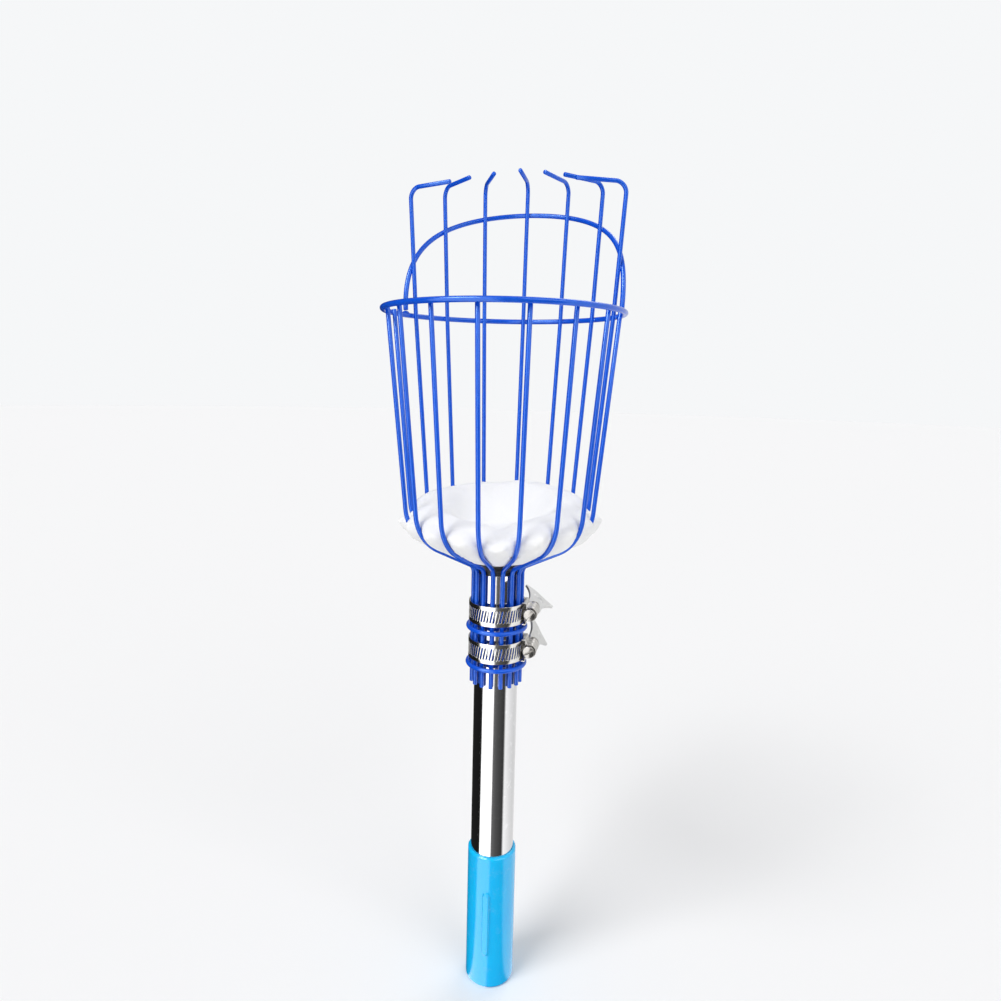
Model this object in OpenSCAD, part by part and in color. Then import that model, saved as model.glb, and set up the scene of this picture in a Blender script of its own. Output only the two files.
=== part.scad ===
// Fruit picker basket: a welded wire picking head, clamped to the top section of a sectional pole.
// Origin: the pole axis at the mouth of the coupling's lower socket. +Z runs up the pole to the
// basket, -Y is the front (the low side of the rim) and +Y is the side with the picking tines.

/* [Basket] */
// Outer diameter of the rim ring
rim_od = 150; // [110:1:200]
// Depth from the rim ring to the point where the cage wires' straight stretches would meet
bowl_depth = 137; // [110:1:170]
// Radius of that same corner, measured from the pole axis
bowl_r = 57.5; // [48:0.5:62]
// Slope of the bowl floor towards the neck, in degrees below level
floor_slope = 26.7; // [15:0.1:35]
// Radius of the bend between the cage wall and the bowl floor
bowl_bend_r = 28; // [12:1:34]
// Radius of the bend from the bowl floor down into the neck
neck_bend_r = 7; // [4:0.5:12]
// Number of cage wires, evenly spaced; every other size here suits 16
wire_count = 16; // [16]

/* [Wire] */
// Diameter of the cage wires and tines
wire_d = 2.8; // [2:0.1:3.6]
// Diameter of the rim ring's wire
rim_wire_d = 3.4; // [2.6:0.1:4.5]
// Diameter of the back arch's wire
arch_wire_d = 3.2; // [2.4:0.1:4]
// Diameter of the two neck collars' wire
collar_wire_d = 2.8; // [2:0.1:3.6]
// How far two welded wires sink into each other
weld_sink = 0.15; // [0.05:0.05:0.4]

/* [Tines] */
// Number of tines, centred on the back; they take the place of the rearmost cage wires
tine_count = 7; // [3:2:9]
// Height of the middle tine above the rim ring
tine_h = 95.5; // [60:0.5:130]
// How much lower the outermost tines stand
tine_drop = 13; // [0:0.5:30]
// Outward lean of the tines above the rim, in degrees
tine_lean = 3.9; // [0:0.1:8]
// Length of the hook at the top of each tine
hook_l = 33; // [20:1:40]
// Radius of the bend at the top of each tine
hook_bend_r = 7; // [4:0.5:10]
// Radius of the slight bend where a tine leans out from the rim
rim_bend_r = 60; // [20:1:100]
// Height of the back arch above the rim ring
arch_h = 74; // [45:1:76]
// Angle from the back to each foot of the arch
arch_half_angle = 73; // [60:1:85]

/* [Neck and clamps] */
// Length of the neck wires below the bowl floor's corner
neck_l = 76; // [74:1:110]
// Running gap between the neck wires and the pole
neck_gap = 0.3; // [0.25:0.05:0.6]
// Distance from the wire ends up to the lower collar
collar_rise = 12.5; // [8:0.5:16]
// Distance between the two clamps
clamp_pitch = 24; // [24:0.5:30]
// Width of a clamp band
band_w = 12.7; // [9:0.1:14]
// Thickness of a clamp band
band_t = 0.7; // [0.5:0.1:1]
// Running gap between a loosened band and the neck wires
band_gap = 0.3; // [0.25:0.05:0.6]
// Distance between a clamp's centre and the collar below it
clamp_to_collar = 10.5; // [9:0.5:12]
// Spacing of the worm slots along the band, in degrees
slot_step = 6.5; // [5.5:0.5:10]
// Width of one worm slot
slot_w = 1; // [0.6:0.1:1.2]
// Length of one worm slot
slot_l = 7.8; // [5:0.1:8.5]
// Slant of the worm slots, in degrees
slot_slant = 11; // [0:1:15]

/* [Worm screw and wing] */
// Outer diameter of the worm thread
worm_d = 7.6; // [6:0.1:8.4]
// Running clearance of the worm in its housing, per side
worm_clearance = 0.05; // [0.03:0.01:0.1]
// Wall of the housing round the worm
housing_wall = 1.1; // [0.8:0.1:1.6]
// Length of the housing along the worm
housing_l = 12; // [10:0.5:14]
// End play between the housing and the screw's two flanges
end_play = 0.3; // [0.25:0.05:0.5]
// Diameter of the screw's end flanges
flange_d = 8.6; // [7.6:0.1:9]
// Thickness of the slotted flange at the free end
tip_flange_t = 2.2; // [1.5:0.1:3]
// Length of the forked head that holds the wing
head_l = 4.6; // [3.5:0.1:6]
// Thickness of the wing plate
wing_t = 1.4; // [1:0.1:2]
// Width of the wing at its outer edge
wing_w = 23; // [16:0.5:23]
// Width of the wing at its waist
wing_waist = 9; // [5:0.5:11]
// Length of the wing beyond the forked head
wing_l = 25; // [20:0.5:32]
// Diameter of the rivet through head and wing
rivet_d = 1.8; // [1.4:0.1:2.4]
// Turn of the upper wing about its screw at rest, in degrees
upper_wing_roll = 42; // [0:1:90]
// Turn of the lower wing about its screw at rest, in degrees
lower_wing_roll = 64; // [0:1:90]

/* [Pad] */
// Height of the pad's top edge above the bowl floor's outer corner
pad_top = 22; // [14:1:40]
// Depth of the dish in the pad's top
pad_dish = 18; // [0:1:20]
// Clearance between the pad and the wires
pad_gap = 0.5; // [0.3:0.1:2]

/* [Pole] */
// Outer diameter of the pole tube
pole_d = 28; // [22:0.5:34]
// Wall of the pole tube
pole_wall = 0.9; // [0.7:0.1:1.6]
// Bare tube between the coupling and the ends of the neck wires
bare_pole = 115; // [60:1:200]
// Gap from the top of the pole up to the bowl floor's inner corner
pole_top_gap = 4; // [3:0.5:12]
// Thickness of the end cap's flange
cap_flange_t = 3; // [2:0.5:4]
// Depth of the end cap's plug inside the tube
cap_plug_l = 14; // [8:1:20]

/* [Coupling] */
// Length of the coupling
coupling_l = 92; // [86:1:120]
// Wall of the coupling round the pole
coupling_wall = 1.75; // [1.4:0.05:3]
// Depth of the lower socket, where the next pole section seats
socket_depth = 38; // [30:1:40]
// Running clearance between a pole tube and the coupling, per side
socket_clearance = 0.05; // [0.03:0.01:0.1]
// Length of the threaded web between the sockets
web_l = 16; // [12:1:20]
// Diameter of the pole's threaded plug
thread_d = 20; // [14:0.5:22]
// Running clearance of the thread, per side
thread_clearance = 0.08; // [0.05:0.01:0.1]
// Depth of the threaded plug's body inside the tube
plug_l = 24; // [16:1:36]
// Height of the raised rib on the coupling
rib_h = 1.5; // [0.8:0.1:2.5]
// Width of the raised rib
rib_w = 4.5; // [3:0.5:8]
// Length of the raised rib
rib_l = 44; // [30:1:60]
// Chamfer on the coupling's outer edges
coupling_chamfer = 1.2; // [0.5:0.1:1.5]

/* [Hidden] */
$fn = 64;
CAGE_COUNT = wire_count - tine_count;
FOOT_GAP = 0.5;
WORM_GAP = 0.25;

BLUE = "royalblue";
STEEL = "silver";
CYAN = "deepskyblue";

// Radii, from the pole outwards
pole_r = pole_d / 2;
neck_r = pole_r + neck_gap + wire_d / 2;
neck_outer_r = neck_r + wire_d / 2;
collar_r = neck_outer_r + collar_wire_d / 2 - weld_sink;
band_inner_r = neck_outer_r + band_gap;
band_outer_r = band_inner_r + band_t;
rim_r = (rim_od - rim_wire_d) / 2;
wire_rim_r = rim_r - rim_wire_d / 2 - wire_d / 2 + weld_sink;

// Heights, from the coupling upwards
wire_end_z = coupling_l + bare_pole;
floor_drop = (bowl_r - neck_r) * tan(floor_slope);
neck_corner_z = wire_end_z + neck_l;
bowl_corner_z = neck_corner_z + floor_drop;
rim_z = bowl_corner_z + bowl_depth;
lower_collar_z = wire_end_z + collar_rise;
lower_clamp_z = lower_collar_z + clamp_to_collar;
upper_clamp_z = lower_clamp_z + clamp_pitch;
upper_collar_z = upper_clamp_z - clamp_to_collar;
pole_top_z = neck_corner_z - pole_top_gap;
web_top_z = socket_depth + web_l;
pole_foot_z = web_top_z + FOOT_GAP;

// Angles, measured from the back (+Y) and positive towards +X
wire_step = 360 / wire_count;
fan_half = (tine_count - 1) / 2 * wire_step;
tine_angles = [for (i = [0 : tine_count - 1]) -fan_half + i * wire_step];
cage_angles = [for (i = [0 : CAGE_COUNT - 1]) fan_half + (i + 1) * wire_step];

// The worm's axis lies beside the band, along Y
worm_r = worm_d / 2;
worm_bore_r = worm_r + worm_clearance;
worm_x = band_outer_r + WORM_GAP + worm_bore_r;
housing_r = worm_bore_r + housing_wall;
head_y = housing_l / 2 + end_play;

// ---- Bent wire: one round section swept along straight stretches and round bends in one plane ----

WIRE_SIDES = 12;
BEND_STEP = 10;

function unit(v) = v / norm(v);
function leg(p, i) = unit(p[i + 1] - p[i]);
function heading(p, i) = let (v = leg(p, i)) atan2(v[1], v[0]);
function turn(p, i) = let (d = heading(p, i) - heading(p, i - 1)) d > 180 ? d - 360 : d < -180 ? d + 360 : d;

// Stations along the wire, each [radius, height, heading]
function bend(p, rad, i) =
    let (t = turn(p, i), side = sign(t), steps = max(1, ceil(abs(t) / BEND_STEP)), from = heading(p, i - 1),
         start = p[i] - leg(p, i - 1) * rad[i] * tan(abs(t) / 2),
         centre = start + side * rad[i] * [-sin(from), cos(from)])
    [for (k = [0 : steps]) let (h = from + t * k / steps)
        [each centre + side * rad[i] * [sin(h), -cos(h)], h]];

function stations(p, rad) = concat(
    [[each p[0], heading(p, 0)]],
    [for (i = [1 : len(p) - 2]) each bend(p, rad, i)],
    [[each p[len(p) - 1], heading(p, len(p) - 2)]]);

module bent_wire(p, rad, d) {
    along = stations(p, rad);
    last = len(along) - 1;
    points = [for (s = along, k = [0 : WIRE_SIDES - 1])
        let (q = k * 360 / WIRE_SIDES, u = d / 2 * cos(q))
        [s[0] - u * sin(s[2]), d / 2 * sin(q), s[1] + u * cos(s[2])]];
    sides = [for (j = [0 : last - 1], k = [0 : WIRE_SIDES - 1])
        let (n = (k + 1) % WIRE_SIDES, b = j * WIRE_SIDES)
        [b + k, b + n, b + WIRE_SIDES + n, b + WIRE_SIDES + k]];
    ends = [[for (k = [WIRE_SIDES - 1 : -1 : 0]) k],
            [for (k = [0 : WIRE_SIDES - 1]) last * WIRE_SIDES + k]];
    polyhedron(points, concat(sides, ends), convexity = 6);
}

// Turns a radial-plane shape (x outward) to an angle measured from the back
module at_angle(a) rotate([0, 0, 90 - a]) children();

// ---- Cage ----

wall_foot = [bowl_r, bowl_corner_z];
floor_end = [neck_r, neck_corner_z];
wire_foot = [neck_r, wire_end_z];
rim_point = [wire_rim_r, rim_z];

function tine_top(a) = tine_h - tine_drop * pow(abs(a) / max(fan_half, 1), 1.5);
function lean_r(h) = wire_rim_r + h * tan(tine_lean);

module cage_wire(i) {
    above_rim = rim_wire_d / 2;
    wall = unit(rim_point - wall_foot);
    color(BLUE) at_angle(cage_angles[i])
        bent_wire([rim_point + wall * above_rim, wall_foot, floor_end, wire_foot],
                  [0, bowl_bend_r, neck_bend_r, 0], wire_d);
}

module tine(i) {
    a = tine_angles[i];
    top = tine_top(a);
    corner = [lean_r(top), rim_z + top];
    color(BLUE) at_angle(a)
        bent_wire([corner - [hook_l, 0], corner, rim_point, wall_foot, floor_end, wire_foot],
                  [0, hook_bend_r, rim_bend_r, bowl_bend_r, neck_bend_r, 0], wire_d);
}

module ring(r, d, z) color(BLUE) translate([0, 0, z]) rotate_extrude() translate([r, 0]) circle(d = d);

module rim_ring() ring(rim_r, rim_wire_d, rim_z);
module upper_collar() ring(collar_r, collar_wire_d, upper_collar_z);
module lower_collar() ring(collar_r, collar_wire_d, lower_collar_z);

// The arch is half of an ellipse laid on the outer side of the tines, its feet on the rim ring
ARCH_STEPS = 48;
ARCH_SIDES = 12;
arch_foot_lift = rim_wire_d / 2 + arch_wire_d / 2 - weld_sink;
function arch_r(h) = lean_r(h) + (wire_d + arch_wire_d) / 2 - weld_sink;
function arch_point(t) =
    let (a = arch_half_angle * cos(t), h = arch_foot_lift + (arch_h - arch_foot_lift) * sin(t))
    [arch_r(h) * sin(a), arch_r(h) * cos(a), rim_z + h];
function arch_along(t) = unit(arch_point(t + 0.5) - arch_point(t - 0.5));
function arch_ring(t) =
    let (c = arch_point(t), f = arch_along(t), out = unit([c[0], c[1], 0]),
         n = unit(out - f * (out * f)), s = cross(f, n))
    [for (k = [0 : ARCH_SIDES - 1])
        c + arch_wire_d / 2 * (cos(k * 360 / ARCH_SIDES) * n + sin(k * 360 / ARCH_SIDES) * s)];

module back_arch() {
    rings = [for (j = [0 : ARCH_STEPS]) each arch_ring(j * 180 / ARCH_STEPS)];
    sides = [for (j = [0 : ARCH_STEPS - 1], k = [0 : ARCH_SIDES - 1])
        let (n = (k + 1) % ARCH_SIDES, b = j * ARCH_SIDES)
        [b + k, b + ARCH_SIDES + k, b + ARCH_SIDES + n, b + n]];
    ends = [[for (k = [0 : ARCH_SIDES - 1]) k],
            [for (k = [ARCH_SIDES - 1 : -1 : 0]) ARCH_STEPS * ARCH_SIDES + k]];
    color(BLUE) polyhedron(rings, concat(sides, ends), convexity = 4);
}

// ---- Pad: a thick dished cushion lying in the bowl, clear of the wires ----

// Centre of the bend between the cage wall and the bowl floor, on the wires' centre line
wall_lean = atan((wire_rim_r - bowl_r) / bowl_depth);
wall_bend = 90 - floor_slope - wall_lean;
bend_setback = bowl_bend_r * tan(wall_bend / 2);
bend_x = bowl_r + bend_setback * sin(wall_lean) - bowl_bend_r * cos(wall_lean);
bend_z = bowl_corner_z + bend_setback * cos(wall_lean) + bowl_bend_r * sin(wall_lean);

PAD_EDGE_R = 5;
PAD_STEPS = 6;
PAD_REST_GAP = 0.4;

// Radius of the pad's side at a height above the bowl corner, parallel to the cage wall
function pad_side_r(h, clear) = bowl_r + h * tan(wall_lean) - clear / cos(wall_lean);

module foam_pad() {
    clear = wire_d / 2 + pad_gap;
    under_r = bowl_bend_r - clear;
    floor_z = neck_corner_z + (pole_r - neck_r) * tan(floor_slope) + clear / cos(floor_slope);
    side_r = pad_side_r(pad_top - PAD_EDGE_R, clear);
    top_z = bowl_corner_z + pad_top;
    rest_z = pole_top_z + cap_flange_t + PAD_REST_GAP;
    color("white") rotate_extrude()
        polygon(concat(
            [[0, rest_z], [pole_r - 1, rest_z], [pole_r, floor_z + 1]],
            [for (s = [0 : PAD_STEPS]) let (q = -90 + floor_slope + s * wall_bend / PAD_STEPS)
                [bend_x + under_r * cos(q), bend_z + under_r * sin(q)]],
            [[side_r, top_z - PAD_EDGE_R],
             [side_r - PAD_EDGE_R * 0.3, top_z - PAD_EDGE_R * 0.3],
             [side_r - PAD_EDGE_R, top_z],
             [side_r * 0.76, top_z - pad_dish * 0.28],
             [side_r * 0.55, top_z - pad_dish * 0.68],
             [side_r * 0.32, top_z - pad_dish * 0.93],
             [0, top_z - pad_dish]]));
}

// ---- Clamps: worm-drive hose clamps with a wing ----

module clamp_band(z) {
    free_arc = 2 * asin(housing_r / band_outer_r) + 2 * slot_step;
    slots = floor((360 - free_arc) / slot_step);
    color(STEEL) translate([0, 0, z]) difference() {
        cylinder(h = band_w, r = band_outer_r, center = true);
        cylinder(h = band_w + 1, r = band_inner_r, center = true);
        for (i = [0 : slots])
            rotate([0, 0, free_arc / 2 + i * slot_step])
                translate([band_outer_r - band_t / 2, 0, 0])
                    rotate([slot_slant, 0, 0])
                        cube([2 * band_t, slot_w, slot_l], center = true);
    }
}

module clamp_housing(z) {
    color(STEEL) translate([0, 0, z]) difference() {
        union() {
            translate([worm_x, 0, 0]) rotate([90, 0, 0]) cylinder(h = housing_l, r = housing_r, center = true);
            translate([band_outer_r - 4, -housing_l / 2, -housing_r])
                cube([worm_x - band_outer_r + 4, housing_l, 2 * housing_r]);
        }
        translate([worm_x, 0, 0]) rotate([90, 0, 0])
            cylinder(h = housing_l + 1, r = worm_bore_r, center = true);
        cylinder(h = 4 * housing_r, r = band_outer_r - 0.05, center = true);
    }
}

// The screw lies along +Y from its slotted tip to the fork that grips the wing
module clamp_screw(z, roll) {
    tip_y = -head_y - tip_flange_t;
    pitch = 2;
    root_r = worm_r - 0.8;
    threads = floor((2 * head_y - 1.6) / pitch);
    first = -threads * pitch / 2;
    color(STEEL) translate([worm_x, 0, z]) rotate([0, roll, 0]) rotate([-90, 0, 0]) difference() {
        rotate_extrude() polygon(concat(
            [[0, tip_y], [flange_d / 2 - 0.4, tip_y], [flange_d / 2, tip_y + 0.4],
             [flange_d / 2, -head_y], [root_r, -head_y]],
            [for (i = [0 : threads - 1], c = [[root_r, 0], [worm_r, 0.6], [worm_r, 1.1], [root_r, 1.7]])
                [c[0], first + i * pitch + c[1]]],
            [[root_r, head_y], [flange_d / 2, head_y], [flange_d / 2, head_y + head_l], [0, head_y + head_l]]));
        translate([-flange_d / 2 - 1, -0.6, tip_y - 1]) cube([flange_d + 2, 1.2, 2.1]);
        translate([-flange_d / 2 - 1, -wing_t / 2, head_y + 1])
            cube([flange_d + 2, wing_t, head_l]);
        translate([0, 0, head_y + 1 + (head_l - 1) / 2]) rotate([90, 0, 0])
            cylinder(h = flange_d + 2, d = rivet_d, center = true);
    }
}

// The wing is a flat plate through the screw's axis, its concave flanks flared to a straight outer edge
WING_STEPS = 8;

module clamp_wing(z, roll) {
    y0 = head_y + 1;
    y1 = head_y + head_l;
    y2 = y1 + wing_l;
    half = wing_w / 2;
    waist = wing_waist / 2;
    flare_y = y2 - 3;
    flank = concat(
        [[waist, y0]],
        [for (i = [0 : WING_STEPS]) let (t = i / WING_STEPS, rise = t * t * (0.55 + 0.45 * t))
            [waist + (half - waist) * rise, y1 + 2 + (flare_y - y1 - 2) * t]],
        [[half - 0.3, y2 - 1.2], [half - 1.6, y2 - 0.4], [half * 0.4, y2]]);
    mirrored = [for (i = [len(flank) - 1 : -1 : 0]) [-flank[i][0], flank[i][1]]];
    color(STEEL) translate([worm_x, 0, z]) rotate([0, roll, 0]) difference() {
        linear_extrude(height = wing_t, center = true) polygon(concat(flank, mirrored));
        translate([0, (y0 + y1) / 2, 0]) cylinder(h = wing_t + 1, d = rivet_d, center = true);
    }
}

module clamp_rivet(z, roll) {
    color(STEEL) translate([worm_x, 0, z]) rotate([0, roll, 0])
        translate([0, head_y + 1 + (head_l - 1) / 2, 0]) cylinder(h = flange_d - 0.6, d = rivet_d, center = true);
}

// ---- Pole and coupling ----

module pole_tube() {
    color(STEEL) difference() {
        translate([0, 0, pole_foot_z]) cylinder(h = pole_top_z - pole_foot_z, r = pole_r);
        translate([0, 0, pole_foot_z - 1]) cylinder(h = pole_top_z - pole_foot_z + 2, r = pole_r - pole_wall);
    }
}

module tube_end_cap() {
    plug_r = pole_r - pole_wall;
    color("dimgray") translate([0, 0, pole_top_z]) rotate_extrude() polygon([
        [0, cap_flange_t], [pole_r - 1.2, cap_flange_t], [pole_r, cap_flange_t - 1.2], [pole_r, 0],
        [plug_r, 0], [plug_r, -cap_plug_l + 1], [plug_r - 1, -cap_plug_l], [plug_r - 2.5, -cap_plug_l],
        [plug_r - 2.5, -2], [0, -2]]);
}

// The plug is pressed into the foot of the tube; its thread, drawn as closed ridges, enters the web
module thread_plug() {
    plug_r = pole_r - pole_wall;
    root_r = thread_d / 2 - 1;
    pitch = 2.5;
    turns = floor((web_l - 2) / pitch);
    foot = pole_foot_z - turns * pitch - 1.2;
    color("dimgray") rotate_extrude() polygon(concat(
        [[0, pole_foot_z + plug_l], [0, foot], [root_r, foot]],
        [for (i = [0 : turns - 1], c = [[root_r, 0.2], [thread_d / 2, 0.9], [thread_d / 2, 1.4], [root_r, 2.1]])
            [c[0], foot + i * pitch + c[1]]],
        [[root_r, pole_foot_z], [plug_r, pole_foot_z], [plug_r, pole_foot_z + plug_l]]));
}

module coupling_sleeve() {
    r = pole_r + socket_clearance + coupling_wall;
    bore = pole_r + socket_clearance;
    color(CYAN) difference() {
        union() {
            cylinder(h = coupling_chamfer, r1 = r - coupling_chamfer, r2 = r);
            translate([0, 0, coupling_chamfer]) cylinder(h = coupling_l - 2 * coupling_chamfer, r = r);
            translate([0, 0, coupling_l - coupling_chamfer])
                cylinder(h = coupling_chamfer, r1 = r, r2 = r - coupling_chamfer);
            translate([0, -r, (coupling_l - rib_l) / 2 + rib_w / 2]) {
                translate([0, 1, 0]) rotate([90, 0, 0]) cylinder(h = 1 + rib_h, d = rib_w);
                translate([-rib_w / 2, -rib_h, 0]) cube([rib_w, 1 + rib_h, rib_l - rib_w]);
                translate([0, 1, rib_l - rib_w]) rotate([90, 0, 0]) cylinder(h = 1 + rib_h, d = rib_w);
            }
        }
        translate([0, 0, -1]) cylinder(h = socket_depth + 1, r = bore);
        translate([0, 0, socket_depth - 1]) cylinder(h = web_l + 2, r = thread_d / 2 + thread_clearance);
        translate([0, 0, web_top_z]) cylinder(h = coupling_l - web_top_z + 1, r = bore);
    }
}

// ---- Nodes ----

coupling_sleeve();
pole_tube();
thread_plug();
tube_end_cap();
rim_ring();
back_arch();
upper_collar();
lower_collar();
foam_pad();
for (i = [1 : CAGE_COUNT])
    cage_wire(i - 1);
for (i = [1 : tine_count])
    tine(i - 1);
clamp_band(upper_clamp_z);  // upper_band
clamp_housing(upper_clamp_z);  // upper_housing
clamp_screw(upper_clamp_z, upper_wing_roll);  // upper_screw
clamp_wing(upper_clamp_z, upper_wing_roll);  // upper_wing
clamp_rivet(upper_clamp_z, upper_wing_roll);  // upper_wing_rivet
clamp_band(lower_clamp_z);  // lower_band
clamp_housing(lower_clamp_z);  // lower_housing
clamp_screw(lower_clamp_z, lower_wing_roll);  // lower_screw
clamp_wing(lower_clamp_z, lower_wing_roll);  // lower_wing
clamp_rivet(lower_clamp_z, lower_wing_roll);  // lower_wing_rivet
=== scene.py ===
import math
import random

import bmesh
import bpy
from mathutils import Matrix, Vector, noise


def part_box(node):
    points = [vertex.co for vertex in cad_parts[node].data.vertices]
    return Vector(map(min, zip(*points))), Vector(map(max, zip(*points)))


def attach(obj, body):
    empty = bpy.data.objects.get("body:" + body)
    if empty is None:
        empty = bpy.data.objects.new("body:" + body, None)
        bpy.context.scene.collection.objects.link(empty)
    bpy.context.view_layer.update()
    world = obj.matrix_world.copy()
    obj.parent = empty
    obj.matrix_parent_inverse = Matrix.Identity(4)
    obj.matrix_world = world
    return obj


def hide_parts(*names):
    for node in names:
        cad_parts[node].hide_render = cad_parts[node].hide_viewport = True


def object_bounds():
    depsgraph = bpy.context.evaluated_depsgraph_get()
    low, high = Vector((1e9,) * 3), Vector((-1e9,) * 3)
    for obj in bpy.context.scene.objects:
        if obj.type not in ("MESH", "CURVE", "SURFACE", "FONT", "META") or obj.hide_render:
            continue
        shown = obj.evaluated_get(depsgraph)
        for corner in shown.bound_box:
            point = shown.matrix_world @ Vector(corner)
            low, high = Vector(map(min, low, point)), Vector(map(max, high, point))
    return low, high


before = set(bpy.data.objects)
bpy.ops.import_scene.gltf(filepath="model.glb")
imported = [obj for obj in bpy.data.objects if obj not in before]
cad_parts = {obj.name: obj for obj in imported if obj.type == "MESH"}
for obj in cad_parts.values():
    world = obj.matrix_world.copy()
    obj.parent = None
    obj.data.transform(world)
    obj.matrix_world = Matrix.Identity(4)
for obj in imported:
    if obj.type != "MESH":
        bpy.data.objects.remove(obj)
cad_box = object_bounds()

# ---- Camera ----
# The picker is seen as a shopper sees it: a little to the right of its low front, close to, with
# the eye just under the rim, so that the rim reads as a thin ellipse and the pole runs away below.

rim_low, rim_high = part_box("rim_ring")
rim_z = (rim_low.z + rim_high.z) / 2
view_side = math.radians(11.3)
view_distance = 0.45
eye_below_rim = 0.0405
view_pitch = math.radians(-6.75)
view_roll = math.radians(1.3)

camera = bpy.data.objects.new("camera", bpy.data.cameras.new("camera"))
bpy.context.collection.objects.link(camera)
camera.data.lens = 26
camera.data.sensor_width = 36
camera.data.shift_y = -0.036
camera.data.clip_start = 0.01
camera.location = (view_distance * math.sin(view_side), -view_distance * math.cos(view_side),
                   rim_z - eye_below_rim)
turned = Matrix.Rotation(view_side, 3, "Z")
tipped = Matrix.Rotation(math.pi / 2 + view_pitch, 3, "X")
rolled = Matrix.Rotation(view_roll, 3, "Z")
camera.rotation_euler = (turned @ tipped @ rolled).to_euler()
bpy.context.scene.camera = camera
bpy.context.scene.view_settings.view_transform = "Standard"

# ---- Studio ----
# A white room with a pale floor and three soft lights. What the polished steel mirrors is set apart from
# that: tall screens and black flags stand round the pole, and for glossy rays the floor glows with the
# screens' light, a painted reflection of them.


def node_tree(tree):
    """Clears a shader tree; returns a maker of its nodes and the call that links them."""
    tree.nodes.clear()

    def make(kind, **settings):
        made = tree.nodes.new(kind)
        for key, value in settings.items():
            setattr(made, key, value)
        return made

    return make, tree.links.new


def shader_group(name, inputs, outputs):
    """A shader node group with named sockets, empty but for its two ends."""
    group = bpy.data.node_groups.new(name, "ShaderNodeTree")
    for label, kind, value in inputs:
        socket = group.interface.new_socket(label, in_out="INPUT", socket_type=kind)
        socket.default_value = value
    for label, kind in outputs:
        group.interface.new_socket(label, in_out="OUTPUT", socket_type=kind)
    make, link = node_tree(group)
    return group, make, link, make("NodeGroupInput"), make("NodeGroupOutput")


# Bearing from the front (-Y) towards +X in degrees, and how bright the screen that stands there is
SCREENS = [(-180, 0.85), (-170, 0.80), (-164, 0.02), (-60, 0.012), (-54, 2.3), (0, 2.3), (7, 0.17),
           (28, 0.10), (62, 0.045), (72, 1.25), (104, 1.0), (135, 0.85), (180, 0.85)]


def between(make, link, source, low, high):
    """Turns a number from low to high into one from 0 to 1."""
    ranged = make("ShaderNodeMapRange")
    ranged.inputs["From Min"].default_value = low
    ranged.inputs["From Max"].default_value = high
    link(source, ranged.inputs["Value"])
    return ranged.outputs[0]


def tint(make, link, mask, first, second):
    """Mixes two colours by a mask; each is a colour or the output of another node."""
    mixed = make("ShaderNodeMix", data_type="RGBA")
    link(mask, mixed.inputs[0])
    for slot, source in ((6, first), (7, second)):
        if isinstance(source, tuple):
            mixed.inputs[slot].default_value = source
        else:
            link(source, mixed.inputs[slot])
    return mixed.outputs[2]


def screens_group():
    """The light that comes from a bearing round the pole."""
    group, make, link, ends_in, ends_out = shader_group(
        "studio_screens", [("Direction", "NodeSocketVector", (0, 0, 0))], [("Light", "NodeSocketColor")])
    split = make("ShaderNodeSeparateXYZ")
    link(ends_in.outputs[0], split.inputs[0])
    forward = make("ShaderNodeMath", operation="MULTIPLY")
    forward.inputs[1].default_value = -1
    link(split.outputs["Y"], forward.inputs[0])
    bearing = make("ShaderNodeMath", operation="ARCTAN2")
    link(split.outputs["X"], bearing.inputs[0])
    link(forward.outputs[0], bearing.inputs[1])
    around = between(make, link, bearing.outputs[0], -math.pi, math.pi)
    ramp = make("ShaderNodeValToRGB")
    while len(ramp.color_ramp.elements) < len(SCREENS):
        ramp.color_ramp.elements.new(0.5)
    for stop, (degrees, light) in zip(ramp.color_ramp.elements, SCREENS):
        stop.position = (degrees + 180) / 360
        stop.color = (light, light, light, 1)
    link(around, ramp.inputs[0])
    link(ramp.outputs[0], ends_out.inputs[0])
    return group


STUDIO_SCREENS = screens_group()
room_white = (0.92, 0.93, 0.94, 1)
room_shade = (0.41, 0.415, 0.42, 1)
ceiling_grey = (0.35, 0.35, 0.35, 1)

room = bpy.data.worlds.new("studio_room")
bpy.context.scene.world = room
room.use_nodes = True
make, link = node_tree(room.node_tree)
direction = make("ShaderNodeTexCoord")
screens = make("ShaderNodeGroup", node_tree=STUDIO_SCREENS)
link(direction.outputs["Generated"], screens.inputs[0])
split = make("ShaderNodeSeparateXYZ")
link(direction.outputs["Generated"], split.inputs[0])
ceiling = between(make, link, split.outputs["Z"], 0.60, 0.85)
overhead = tint(make, link, ceiling, screens.outputs[0], ceiling_grey)
ray = make("ShaderNodeLightPath")
backdrop = tint(make, link, ray.outputs["Is Camera Ray"], room_shade, room_white)
seen = tint(make, link, ray.outputs["Is Glossy Ray"], backdrop, overhead)
glow = make("ShaderNodeBackground")
link(seen, glow.inputs["Color"])
sky = make("ShaderNodeOutputWorld")
link(glow.outputs[0], sky.inputs["Surface"])

# Each soft light: bearing from the front towards +X, height above level, spread, in degrees; strength
SOFT_LIGHTS = {"key_light": (-38, 46, 30, 1.75), "fill_light": (50, 32, 40, 0.70),
               "back_light": (160, 50, 30, 0.50)}
for name, (bearing, rise, spread, strength) in SOFT_LIGHTS.items():
    lamp = bpy.data.lights.new(name, "SUN")
    lamp.energy = strength
    lamp.angle = math.radians(spread)
    light = bpy.data.objects.new(name, lamp)
    bpy.context.collection.objects.link(light)
    light.rotation_euler = (math.radians(90 - rise), 0, math.radians(bearing))

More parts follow.
